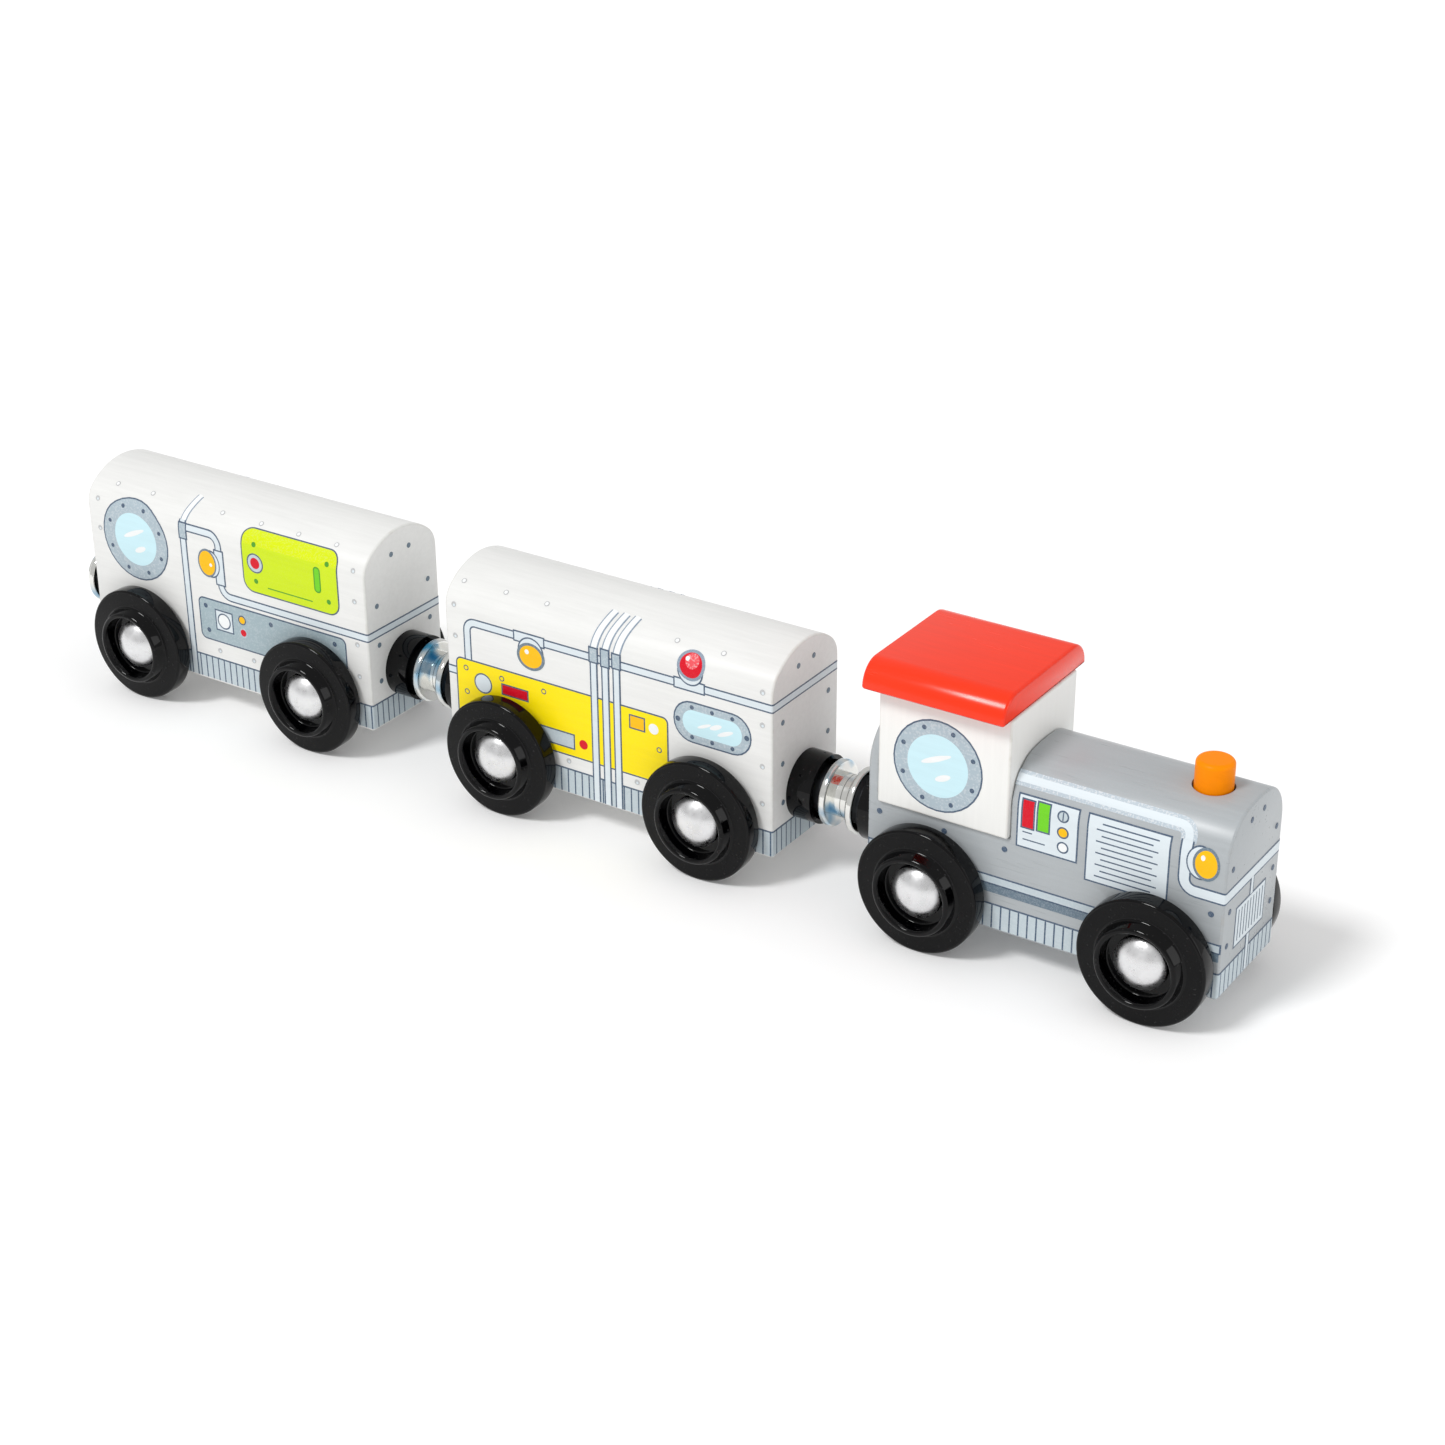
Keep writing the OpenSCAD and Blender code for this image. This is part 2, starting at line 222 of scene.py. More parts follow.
def printInk(name, colour, grit=0.35, gloss=0.4, dotSize=0.00018):
    # a printed ink: fine dots of a lighter tone, on the same grained wood
    f = Finish(name, Base_Color=colour, IOR=1.3)
    dots = f.ramp(f.noise(dotSize, detail=1), 0.5, 0.62)
    lines = f.noise(0.0009, (0.07, 1, 1), 3, 0.6)
    tone = f.mix(f.ramp(lines, 0.35, 0.65), shade(colour, 0.98), shade(colour, 1.015))
    f.feed("Base Color", f.mix(dots * grit, tone, mixed(colour, (0.8, 0.8, 0.8, 1), 0.5)))
    f.feed("Roughness", gloss + (lines - 0.5) * 0.2)
    f.bump(lines, 0.06, 0.00005)
    return f.material


def blackPlastic(name, colour, gloss, drag=0.3, ior=1.4):
    # moulded plastic with faint swirls, handling haze and a little dust
    f = Finish(name, Base_Color=colour, IOR=ior)
    haze = f.noise(0.006, detail=3)
    swirl = f.noise(0.0007, detail=2)
    dust = f.ramp(f.noise(0.00045, detail=1), 0.7, 0.76)
    body = f.mix(f.ramp(haze, 0.3, 0.7), shade(colour, 0.85), shade(colour, 1.25))
    f.feed("Base Color", f.mix(dust * 0.12, body, (0.2, 0.2, 0.2, 1)))
    f.feed("Roughness", gloss + (haze - 0.5) * 0.1 + dust * 0.2)
    f.bump(swirl * drag + haze * 0.4, 0.15, 0.00005)
    return f.material


def metal(name, colour, gloss, mottle, tint=None, size=0.0022):
    # plated steel: mottled brightness, an optional second tint and fine scuffs
    f = Finish(name, Base_Color=colour, Metallic=1.0)
    patches = f.ramp(f.noise(size, detail=3, rough=0.55), 0.3, 0.7)
    scuffs = f.noise(0.0004, (1, 0.25, 1), 3, 0.7)
    body = f.mix(patches, shade(colour, 1 - mottle * 0.5), colour)
    if tint:
        body = f.mix(f.ramp(f.noise(size * 1.7, detail=1), 0.5, 0.72), body, tint)
    f.feed("Base Color", body)
    f.feed("Roughness", gloss + (patches - 0.5) * 0.16 + (scuffs - 0.5) * 0.2)
    f.bump(patches * 0.7 + scuffs * 0.5, 0.15, 0.00008)
    return f.material


finishes = dict(
    wagonWhite=paintedWood("wagon_white", paint(230, 230, 228), 0.5),
    wagonEdge=paintedWood("wagon_edge", paint(225, 225, 222), 0.5, 0.34, wear=0.3),
    cabWhite=paintedWood("cab_white", paint(237, 237, 234), 0.3, way=(1, 1, 0.07)),
    cabEdge=paintedWood("cab_edge", paint(230, 229, 225), 0.5, 0.36, wear=0.5, way=(1, 1, 0.07)),
    engineGrey=paintedWood("engine_grey", paint(170, 175, 178), 0.6, 0.32, 0.12, ior=1.48),
    engineEdge=paintedWood("engine_edge", paint(167, 172, 175), 0.6, 0.3, 0.12, 0.3, ior=1.48),
    roofRed=paintedWood("roof_red", paint(247, 51, 6), 0.6, 0.22, ior=1.42),
    roofEdge=paintedWood("roof_edge", paint(242, 47, 6), 0.6, 0.2, wear=0.1, ior=1.42),
    beaconOrange=paintedWood("beacon_orange", paint(252, 140, 0), 0.5, 0.36, ior=1.18),
    beaconEdge=paintedWood("beacon_edge", paint(254, 152, 2), 0.5, 0.36, wear=0.1, ior=1.18),
    wheelFace=blackPlastic("wheel_face", paint(9, 9, 10), 0.26, 0.8, 1.24),
    wheelGloss=blackPlastic("wheel_gloss", paint(2, 2, 3), 0.07, ior=1.3),
    cupGloss=blackPlastic("cup_gloss", paint(2, 2, 3), 0.06, ior=1.32),
    capBright=metal("cap_bright", paint(236, 236, 237), 0.3, 0.3),
    zincPlate=metal("zinc_plate", paint(240, 240, 236), 0.08, 0.3, paint(66, 150, 190), size=0.003),
    axleSteel=metal("axle_steel", paint(170, 172, 176), 0.25, 0.5),
    screwSteel=metal("screw_steel", paint(190, 174, 140), 0.3, 0.5),
    ferrite=metal("ferrite", paint(70, 72, 76), 0.5, 0.5),
)
inks = dict(
    line=printInk("line_ink", paint(74, 92, 114), 0.22),
    softLine=printInk("soft_line_ink", paint(134, 150, 168), 0.3),
    pale=printInk("pale_ink", paint(216, 225, 230), 0.1),
    mist=printInk("mist_ink", paint(190, 202, 208), 0.25, dotSize=0.0003),
    steel=printInk("steel_ink", paint(104, 122, 136), 0.25),
    ring=printInk("ring_ink", paint(170, 185, 194), 0.5, dotSize=0.00034),
    slab=printInk("slab_ink", paint(160, 178, 185), 0.3, dotSize=0.00034),
    sky=printInk("sky_ink", paint(200, 232, 240), 0.03),
    white=printInk("white_ink", paint(238, 240, 240), 0.02),
    gold=printInk("gold_ink", paint(248, 188, 0), 0.03),
    red=printInk("red_ink", paint(212, 4, 34), 0.03),
    green=printInk("green_ink", paint(112, 206, 32), 0.03),
    leaf=printInk("leaf_ink", paint(78, 156, 40), 0.05),
    yellow=printInk("yellow_ink", paint(252, 226, 0), 0.03),
    lime=printInk("lime_ink", paint(203, 227, 18), 0.05),
    citron=printInk("citron_ink", paint(213, 229, 0), 0.16, dotSize=0.0003),
    rose=printInk("rose_ink", paint(232, 84, 92), 0.8, dotSize=0.0004),
    faint=printInk("faint_ink", paint(186, 187, 188), 0.4),
    # this ink paints the highlight along the engine's shoulder, round the printed pipe
    shoulderSheen=printInk("shoulder_sheen_ink", paint(182, 194, 203), 0.95, dotSize=0.0003),
)
print("materials made")


# painted blocks: the CAD solids with their sharp edges eased

# sizes in millimetres; sharpAngle is the least angle, in degrees, of an edge that gets rounded
blockDesign = dict(edgeRound=0.4, cabRound=0.35, roofRound=0.5, beaconRound=0.3, noseSink=0.12,
                   engineClear=3.6, wagonClear=2.0, sharpAngle=38, smoothAngle=32)


def easedBlock(nodeName, name, finish, body, edgeRound, keep=lambda middle: True):
    block = copyOfMesh(nodes[nodeName], name)
    block.data.materials.clear()
    for material in finish:
        block.data.materials.append(material)
    editMode(block)
    bpy.ops.mesh.select_all(action="SELECT")
    bpy.ops.mesh.remove_doubles(threshold=0.001 * mm)
    bpy.ops.mesh.dissolve_limited(angle_limit=radians(0.5))
    bpy.ops.mesh.customdata_custom_splitnormals_clear()
    sharp = radians(blockDesign["sharpAngle"])
    pickEdges(block, lambda e: len(e.link_faces) == 2 and e.calc_face_angle(0) > sharp
              and keep((e.verts[0].co + e.verts[1].co) / 2))
    # the rounded edges get slot 1: the same paint a touch darker (a touch lighter on the beacon), with
    # rubbed patches where the wood shows
    bpy.ops.mesh.bevel(offset=edgeRound * mm, segments=3, affect="EDGES", clamp_overlap=False, material=1)
    objectMode()
    smoothed(block, blockDesign["smoothAngle"])
    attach(block, body)
    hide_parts(nodeName)
    return block


def clearOf(spots, reach):
    # keeps edges that are further than this from every hole axis, given as (point, axis index)
    def test(middle):
        for point, axis in spots:
            away = middle - point
            away[axis] = 0
            if away.length < reach:
                return False
        return True
    return test


def holesOf(vehicle, cups):
    spots = []
    for end in ("front", "rear"):
        low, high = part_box(vehicle + "_" + end + "_axle")
        spots.append(((low + high) / 2, 1))
    for cup in cups:
        low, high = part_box(cup + "_cup")
        spots.append(((low + high) / 2, 0))
    return spots


beaconLow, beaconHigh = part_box("beacon")
engineHoles = holesOf("engine", ["engine_rear"]) + [((beaconLow + beaconHigh) / 2, 2)]
engineBlock = easedBlock("engine_body", "engine_block", (finishes["engineGrey"], finishes["engineEdge"]),
                         "engine", blockDesign["edgeRound"],
                         clearOf(engineHoles, blockDesign["engineClear"] * mm))
for vehicle in ("middle", "tail"):
    holes = holesOf(vehicle, [vehicle + "_front", vehicle + "_rear"])
    easedBlock(vehicle + "_wagon_body", vehicle + "_wagon_block",
               (finishes["wagonWhite"], finishes["wagonEdge"]), vehicle + "_wagon",
               blockDesign["edgeRound"], clearOf(holes, blockDesign["wagonClear"] * mm))
easedBlock("cab", "cab_block", (finishes["cabWhite"], finishes["cabEdge"]), "engine",
           blockDesign["cabRound"])
easedBlock("cab_roof", "cab_roof_slab", (finishes["roofRed"], finishes["roofEdge"]), "engine",
           blockDesign["roofRound"])
easedBlock("beacon", "beacon_knob", (finishes["beaconOrange"], finishes["beaconEdge"]),
           "engine", blockDesign["beaconRound"])

# the nose is set back by the thickness of the print on it
noseX = cadBounds[1].x
editMode(engineBlock)
pickFaces(engineBlock, lambda middle, normal: middle.x > noseX - 0.6 * mm)
bpy.ops.transform.translate(value=(-blockDesign["noseSink"] * mm, 0, 0))
objectMode()
print("painted blocks made")


# wheels: one turned wheel, copied to every axle end

wheelDesign = dict(collarR=7.6, lipR=6.95, lipWall=0.9, collarH=2.0, recess=2.7, boss=3.2, bossH=0.6,
                   bore=1.6, rimRound=0.45, lipRound=0.4, footRound=0.35, recessRound=0.3,
                   sides=128, smoothAngle=35)


def turnedWheel(radius, faceY, backY):
    # made lying at the origin with its outer face towards -Y; faceY and backY are the two flat sides
    d = wheelDesign
    bpy.ops.object.select_all(action="DESELECT")
    bpy.ops.mesh.primitive_cylinder_add(vertices=d["sides"], radius=radius, depth=backY - faceY,
                                        location=(0, (faceY + backY) / 2, 0), rotation=(pi / 2, 0, 0))
    wheel = bpy.context.object
    wheel.name = "wheel_pattern"
    bpy.ops.object.transform_apply(location=True, rotation=True)
    wheel.data.materials.append(finishes["wheelGloss"])
    wheel.data.materials.append(finishes["wheelFace"])
    editMode(wheel)
    pickFaces(wheel, lambda middle, normal: normal.y < -0.9)
    bpy.ops.mesh.inset(thickness=radius - d["collarR"] * mm)
    bpy.ops.mesh.extrude_region_move(TRANSFORM_OT_translate={"value": (0, -d["collarH"] * mm, 0)})
    squeeze = d["lipR"] / d["collarR"]
    bpy.ops.transform.resize(value=(squeeze, 1, squeeze))
    bpy.ops.mesh.inset(thickness=d["lipWall"] * mm)
    bpy.ops.mesh.extrude_region_move(TRANSFORM_OT_translate={"value": (0, d["recess"] * mm, 0)})
    bpy.ops.mesh.inset(thickness=(d["lipR"] - d["lipWall"] - d["bore"]) * mm)
    pickFaces(wheel, lambda middle, normal: normal.y > 0.9 and abs(middle.y - backY) < 1e-6)
    bpy.ops.mesh.inset(thickness=radius - d["boss"] * mm)
    bpy.ops.mesh.extrude_region_move(TRANSFORM_OT_translate={"value": (0, d["bossH"] * mm, 0)})
    bpy.ops.mesh.inset(thickness=(d["boss"] - d["bore"]) * mm)
    # the bore goes right through
    pickFaces(wheel, lambda middle, normal: abs(normal.y) > 0.9
              and Vector((middle.x, 0, middle.z)).length < 0.1 * mm)
    bpy.ops.mesh.bridge_edge_loops()

    def rounding(test, offset, segments):
        pickEdges(wheel, lambda e: e.calc_face_angle(0) > radians(25)
                  and abs(e.verts[0].co.y - e.verts[1].co.y) < 1e-6 and test(e.verts[0].co))
        bpy.ops.mesh.bevel(offset=offset * mm, segments=segments, affect="EDGES", clamp_overlap=False)

    def out(point):
        return Vector((point.x, 0, point.z)).length / mm

    rounding(lambda p: out(p) > radius / mm - 0.2, d["rimRound"], 4)
    rounding(lambda p: p.y < faceY - 1.5 * mm, d["lipRound"], 4)
    rounding(lambda p: abs(out(p) - d["collarR"]) < 0.3 and p.y < faceY + 0.1 * mm, d["footRound"], 3)
    rounding(lambda p: abs(out(p) - d["lipR"] + d["lipWall"]) < 0.3 and p.y > faceY, d["recessRound"], 3)
    pickFaces(wheel, lambda middle, normal: abs(normal.y) > 0.95 and out(middle) > d["collarR"] + 0.3
              and out(middle) < radius / mm - 0.4)
    wheel.active_material_index = 1
    bpy.ops.object.material_slot_assign()
    objectMode()
    return smoothed(wheel, d["smoothAngle"])


vehicles = ("engine", "middle", "tail")
couplings = ("engine_rear", "middle_front", "middle_rear", "tail_front", "tail_rear")
sampleLow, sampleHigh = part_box("engine_wheel_front_right")
pattern = turnedWheel((sampleHigh.x - sampleLow.x) / 2, sampleLow.y + wheelDesign["collarH"] * mm,
                      sampleHigh.y - wheelDesign["bossH"] * mm)
for vehicle in vehicles:
    for end in ("front", "rear"):
        for side in ("left", "right"):
            nodeName = vehicle + "_wheel_" + end + "_" + side
            low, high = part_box(nodeName)
            middle = (low + high) / 2
            wheel = copyOfMesh(pattern, vehicle + "_" + end + "_" + side + "_wheel")
            if side == "left":
                wheel.data.transform(Matrix.Rotation(pi, 4, "Z"))
            wheel.data.transform(Matrix.Translation((middle.x, 0, middle.z)))
            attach(wheel, nodeName)
            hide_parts(nodeName)
bpy.data.objects.remove(pattern)
print("wheels made")


# metal and cup nodes keep their shape and get their finishes

def dress(nodeName, material):
    mesh = nodes[nodeName].data
    mesh.materials.clear()
    mesh.materials.append(material)


for vehicle in vehicles:
    for end in ("front", "rear"):
        dress(vehicle + "_" + end + "_axle", finishes["axleSteel"])
        dress(vehicle + "_" + end + "_axle_caps", finishes["capBright"])
for coupling in couplings:
    dress(coupling + "_cup", finishes["cupGloss"])
    dress(coupling + "_magnet", finishes["ferrite"])
    dress(coupling + "_pole", finishes["zincPlate"])
    dress(coupling + "_screw", finishes["screwSteel"])
print("metal parts dressed")


# printed decoration: drawn flat in millimetres, then laid round the block
# x runs along the vehicle from its middle, s runs up the side and on over the shoulder

printDesign = dict(lineWidth=0.28, layer=0.008, base=0.02, depth=0.15, corner=0.4, rivet=0.5)
step = printDesign["layer"]


class Sheet:
    # one flat drawing whose shapes are laid round a block and then split up by ink
    def __init__(self, name):
        self.obj = bpy.data.objects.new(name, bpy.data.meshes.new(name))
        scene.collection.objects.link(self.obj)
        self.inkNames = list(inks)
        for ink in inks.values():
            self.obj.data.materials.append(ink)
        editMode(self.obj)
        bpy.ops.mesh.select_mode(type="VERT")

    def height(self, layer):
        return printDesign["base"] + step * (layer - 1)

    def colour(self, ink):
        self.obj.active_material_index = self.inkNames.index(ink)
        bpy.ops.object.material_slot_assign()

    def dot(self, x, s, r, ink, layer, squash=1.0, sides=32):
        bpy.ops.mesh.primitive_circle_add(vertices=sides, radius=r, fill_type="NGON",
                                          location=(x, s, self.height(layer)))
        if squash != 1:
            bpy.ops.transform.resize(value=(squash, 1, 1))
        self.colour(ink)

    def bar(self, x0, x1, s0, s1, ink, layer, corner=0.0, lean=0.0):
        bpy.ops.mesh.primitive_plane_add(size=1, location=((x0 + x1) / 2, (s0 + s1) / 2, self.height(layer)))
        bpy.ops.transform.resize(value=(x1 - x0, s1 - s0, 1))
        if corner:
            bpy.ops.mesh.bevel(affect="VERTICES", offset=corner, segments=6, clamp_overlap=True)
        if lean:
            middle = ((x0 + x1) / 2, (s0 + s1) / 2, 0)
            bpy.ops.transform.rotate(value=radians(lean), orient_axis="Z", center_override=middle)
        self.colour(ink)

    def streak(self, x, s, length, thick, layer, lean=24.0):
        # a brush-like glint
        self.dot(x, s, 0.5, "white", layer)
        bpy.ops.transform.resize(value=(length, thick, 1))
        bpy.ops.transform.rotate(value=radians(-lean), orient_axis="Z", center_override=(x, s, 0))

    def framed(self, x0, x1, s0, s1, fill, layer, corner=0.0, rim="line", width=None):
        # a bar in one ink on a slightly larger one that shows as its outline
        w = width or printDesign["lineWidth"]
        self.bar(x0 - w, x1 + w, s0 - w, s1 + w, rim, layer, corner and corner + w)
        self.bar(x0, x1, s0, s1, fill, layer + 1, corner)

    def ringed(self, x, s, r, fill, layer, rim="line", width=None, squash=1.0):
        w = width or printDesign["lineWidth"]
        self.dot(x, s, r + w, rim, layer, squash)
        self.dot(x, s, r, fill, layer + 1, squash)

    def run(self, points, width, bend, ink, layer):
        # a pipe of one width: a first straight, then a spun corner and another straight for each turn
        places = [Vector(p) for p in points]
        ways = [(b - a).normalized() for a, b in zip(places, places[1:])]
        lengths = [(b - a).length for a, b in zip(places, places[1:])]
        turns = len(ways) - 1
        straight = lengths[0] - (bend if turns else 0)
        z = self.height(layer)
        middle = places[0] + ways[0] * straight / 2
        bpy.ops.mesh.primitive_plane_add(size=1, location=(middle.x, middle.y, z))
        along = abs(ways[0].x) > 0.5
        bpy.ops.transform.resize(value=(straight if along else width, width if along else straight, 1))
        self.colour(ink)
        tip = places[0] + ways[0] * straight
        pickEdges(self.obj, lambda e: all(abs((v.co.xy - tip).dot(ways[0])) < 1e-4 for v in e.verts), True)
        for turn in range(turns):
            before, after = ways[turn], ways[turn + 1]
            hub = places[turn + 1] - before * bend + after * bend
            left = before.cross(after) > 0
            turnBy = -pi / 2 if left else pi / 2
            bpy.ops.mesh.spin(steps=6, angle=turnBy, center=(hub.x, hub.y, z), axis=(0, 0, 1))
            ahead = lengths[turn + 1] - bend * (2 if turn + 1 < turns else 1)
            shift = (after.x * ahead, after.y * ahead, 0)
            bpy.ops.mesh.extrude_region_move(TRANSFORM_OT_translate={"value": shift})
        bpy.ops.mesh.select_mode(type="VERT")

    def pipe(self, points, width, bend=2.0, layer=3, fill="pale"):
        w = printDesign["lineWidth"]
        self.run(points, width + 2 * w, bend, "line", layer)
        self.run(points, width, bend, fill, layer + 1)

    def rivet(self, x, s, ink="line", layer=7, r=None):
        self.dot(x, s, r or printDesign["rivet"], ink, layer, sides=16)
        if ink == "faint":
            self.dot(x + 0.1, s - 0.1, 0.5 * printDesign["rivet"], "pale", layer + 1, sides=16)

    def rivets(self, spots, ink="line", layer=7):
        for x, s in spots:
            self.rivet(x, s, ink, layer)

    def ribs(self, x0, x1, s0, s1, pitch, fill="mist", layer=2):
        # a corrugated skirt: a pale band, a line along its top, one upright line that is then repeated
        w = printDesign["lineWidth"]
        self.bar(x0, x1, s0, s1, fill, layer)
        self.bar(x0, x1, s1 - w / 2, s1 + w / 2, "line", layer + 2)
        count = int((x1 - x0) / pitch)
        first = (x0 + x1) / 2 - (count - 1) * pitch / 2
        self.bar(first - w / 2, first + w / 2, s0, s1, "line", layer + 1)
        for copy in range(count - 1):
            bpy.ops.mesh.duplicate_move(TRANSFORM_OT_translate={"value": (pitch, 0, 0)})

    def cut(self, places, way):
        # extra edges, so that the flat shapes can follow a curve
        for place in places:
            point = (place, 0, 0) if way == "x" else (0, place, 0)
            bpy.ops.mesh.select_all(action="SELECT")
            bpy.ops.mesh.bisect(plane_co=point, plane_no=(1, 0, 0) if way == "x" else (0, 1, 0))

    def thicken(self):
        objectMode()
        applyModifier(self.obj, "SOLIDIFY", thickness=printDesign["depth"], offset=-1, use_rim=True)

    def lay(self, wrap):
        for vertex in self.obj.data.vertices:
            vertex.co = wrap(*vertex.co)

    def mirrorAcross(self):
        # the same drawing on the far side of the vehicle, joined along the middle of its ends
        editMode(self.obj)
        bpy.ops.mesh.select_all(action="SELECT")
        bpy.ops.mesh.duplicate()
        bpy.ops.transform.mirror(constraint_axis=(False, True, False), center_override=(0, 0, 0))
        bpy.ops.mesh.flip_normals()
        bpy.ops.mesh.select_all(action="SELECT")
        bpy.ops.mesh.remove_doubles(threshold=0.0005 * mm)
        bpy.ops.mesh.select_mode(type="FACE")
        bpy.ops.mesh.select_all(action="DESELECT")
        bpy.ops.mesh.select_interior_faces()
        bpy.ops.mesh.delete(type="FACE")
        objectMode()

    def split(self, others, body, prefix):
        # joins the sheets of one vehicle and separates them into one piece per ink
        bpy.ops.object.select_all(action="DESELECT")
        for sheet in [self] + others:
            sheet.obj.select_set(True)
        bpy.context.view_layer.objects.active = self.obj
        if others:
            bpy.ops.object.join()
        bpy.ops.object.mode_set(mode="EDIT")
        bpy.ops.mesh.select_all(action="SELECT")
        bpy.ops.mesh.normals_make_consistent(inside=False)
        bpy.ops.mesh.separate(type="MATERIAL")
        objectMode()
        for piece in list(bpy.context.selected_objects):
            ink = piece.data.materials[piece.data.polygons[0].material_index]
            piece.data.materials.clear()
            piece.data.materials.append(ink)
            for face in piece.data.polygons:
                face.material_index = 0
            piece.name = prefix + "_" + ink.name
            piece.data.name = piece.name
            smoothed(piece, 30)
            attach(piece, body)


class Section:
    # the rounded outline of a block, so that a print can be laid on it
    def __init__(self, low, high, shoulder, crown, nose=0.0):
        self.low, self.high = low / mm, high / mm
        self.middleX = (self.low.x + self.high.x) / 2
        self.halfL = (self.high.x - self.low.x) / 2
        self.frontX = self.high.x - nose
        self.half = (self.high.y - self.low.y) / 2
        self.shoulder, self.crown = shoulder, crown
        self.reach = self.half - shoulder
        self.crownZ = self.high.z - crown
        self.drop = sqrt((crown - shoulder) ** 2 - self.reach ** 2)
        self.lean = atan2(self.drop, self.reach)
        self.sideTop = self.crownZ + self.drop
        self.shoulderEnd = self.sideTop + shoulder * self.lean

    def outline(self, s):
        # (y, z) on the near side, and the way out of the surface there
        if s <= self.sideTop:
            return -self.half, s, -1.0, 0.0
        if s <= self.shoulderEnd:
            a = (s - self.sideTop) / self.shoulder
            y = -self.reach - self.shoulder * cos(a)
            return y, self.sideTop + self.shoulder * sin(a), -cos(a), sin(a)
        a = self.lean + (s - self.shoulderEnd) / self.crown
        return -self.crown * cos(a), self.crownZ + self.crown * sin(a), -cos(a), sin(a)

    def cuts(self, top):
        steps = int((top - self.sideTop) / 0.45) + 1
        return [self.sideTop + (top - self.sideTop) * k / steps for k in range(steps)]

    def cornerCuts(self):
        r = printDesign["corner"]
        arc = r * pi / 2
        front = self.halfL - (self.high.x - self.frontX) - r
        places = []
        for way, start in ((-1, self.halfL - r), (1, front)):
            places += [way * start + way * arc * k / 4 for k in range(5)]
        return places

    def wrap(self, x, s, h):
        # past a corner the drawing goes on round it, along the vehicle's end
        y, z, outY, outZ = self.outline(s)
        r = printDesign["corner"]
        way = 1 if x > 0 else -1
        limit = (self.frontX - self.middleX if way > 0 else self.halfL) - r
        past = abs(x) - limit
        if past <= 0:
            return Vector((self.middleX + x, y + outY * h, z + outZ * h)) * mm
        a = min(past / r, pi / 2)
        extra = max(past - r * pi / 2, 0)
        ax = limit + r * sin(a) + h * sin(a)
        ay = -self.half + r - (r + h) * cos(a) + extra
        return Vector((self.middleX + way * ax, ay, z)) * mm

    def endX(self, inset):
        # the drawing's x for a point on the front that is this far in from the side
        limit = self.frontX - self.middleX - printDesign["corner"]
        return limit + printDesign["corner"] * pi / 2 + inset - printDesign["corner"]

    def backX(self, inset):
        limit = self.halfL - printDesign["corner"]
        return -(limit + printDesign["corner"] * pi / 2 + inset - printDesign["corner"])

    def onFront(self, y, z, h):
        return Vector((self.frontX + h, y, z)) * mm

    def onBack(self, y, z, h):
        return Vector((self.low.x - h, -y, z)) * mm


def porthole(sheet, x, s, outer, glass, ringR, layer=3):
    sheet.ringed(x, s, outer - printDesign["lineWidth"], "ring", layer)
    for k in range(8):
        a = k * pi / 4 + pi / 8
        sheet.rivet(x + ringR * cos(a), s + ringR * sin(a), layer=layer + 3, r=0.42)
    sheet.dot(x, s, glass, "sky", layer + 2, sides=48)
    sheet.streak(x - 0.5, s + 1.1, 5.4, 1.0, layer + 3)
    sheet.streak(x + 1.0, s + 1.75, 3.0, 0.7, layer + 4)
    sheet.streak(x + 1.0, s - 1.9, 3.0, 1.1, layer + 3)


# engine print

engineLow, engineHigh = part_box("engine_body")
engineShape = Section(engineLow, engineHigh, 7.6, 31.7, blockDesign["noseSink"])
enginePrint = dict(lightBand=(14.5, 15.7), darkBand=(12.8, 14.25), skirtTop=10.7,
                   louvre=(8.0, 21.6, 20.5, 31.8), board=(-4.1, 6.1, 22.9, 31.8), lamp=(27.8, 29.1))
e = enginePrint
side = Sheet("engine_side_sheet")
edgeX = engineShape.endX(engineShape.half)
backEdge = engineShape.backX(engineShape.half)
side.ribs(backEdge, edgeX, 6.35, e["skirtTop"], 1.6)
side.framed(-31.0, 31.0, *e["lightBand"], "mist", 2)
side.bar(-31.0, 31.0, *e["darkBand"], "steel", 2)
# pipe along the shoulder, down past the lamp and forward to the nose; along the shoulder the pale pipe lies
# on a wide stippled band of painted highlight
side.run([(-5.4, 34.35), (24.4, 34.35), (24.4, 31.9)], 2.6, 1.8, "shoulderSheen", 1)
side.run([(-5.4, 34.35), (24.4, 34.35), (24.4, 31.6)], 1.3, 1.8, "pale", 2)
side.pipe([(24.35, 32.2), (24.35, 24.0), (edgeX, 24.0)], 1.6, 1.9)
x0, x1, s0, s1 = e["louvre"]
side.framed(x0, x1, s0, s1, "pale", 3)
side.bar(x0 + 1.6, x1 - 2.6, s0 + 0.9, s0 + 1.12, "line", 5)
for k in range(10):
    shift = 0.9 if k % 2 else 0.0
    side.bar(x0 + 1.4 + shift, x1 - 2.6 + shift, s0 + 0.9 + k * 1.03, s0 + 1.14 + k * 1.03, "line", 5)
x0, x1, s0, s1 = e["board"]
side.framed(x0, x1, s0, s1, "pale", 3)
side.framed(-3.4, -1.5, 26.4, 31.1, "red", 5)
side.framed(-0.7, 1.2, 26.5, 31.3, "green", 5)
side.ringed(3.6, 30.1, 0.75, "mist", 5)
side.bar(3.5, 3.7, 29.4, 30.8, "line", 7)
side.ringed(3.7, 27.3, 0.75, "gold", 5)
side.ringed(3.8, 24.7, 0.75, "white", 5)
side.bar(-3.3, -1.6, 25.4, 25.62, "line", 5)
side.bar(-3.2, 0.7, 24.1, 24.32, "line", 5)
x, s = e["lamp"]
side.ringed(x - 1.0, s, 2.6, "pale", 5, squash=0.8)
side.ringed(x, s, 2.3, "gold", 7, "steel", 0.5, squash=0.8)
side.dot(x - 0.6, s + 1.0, 0.45, "white", 9, 0.8)
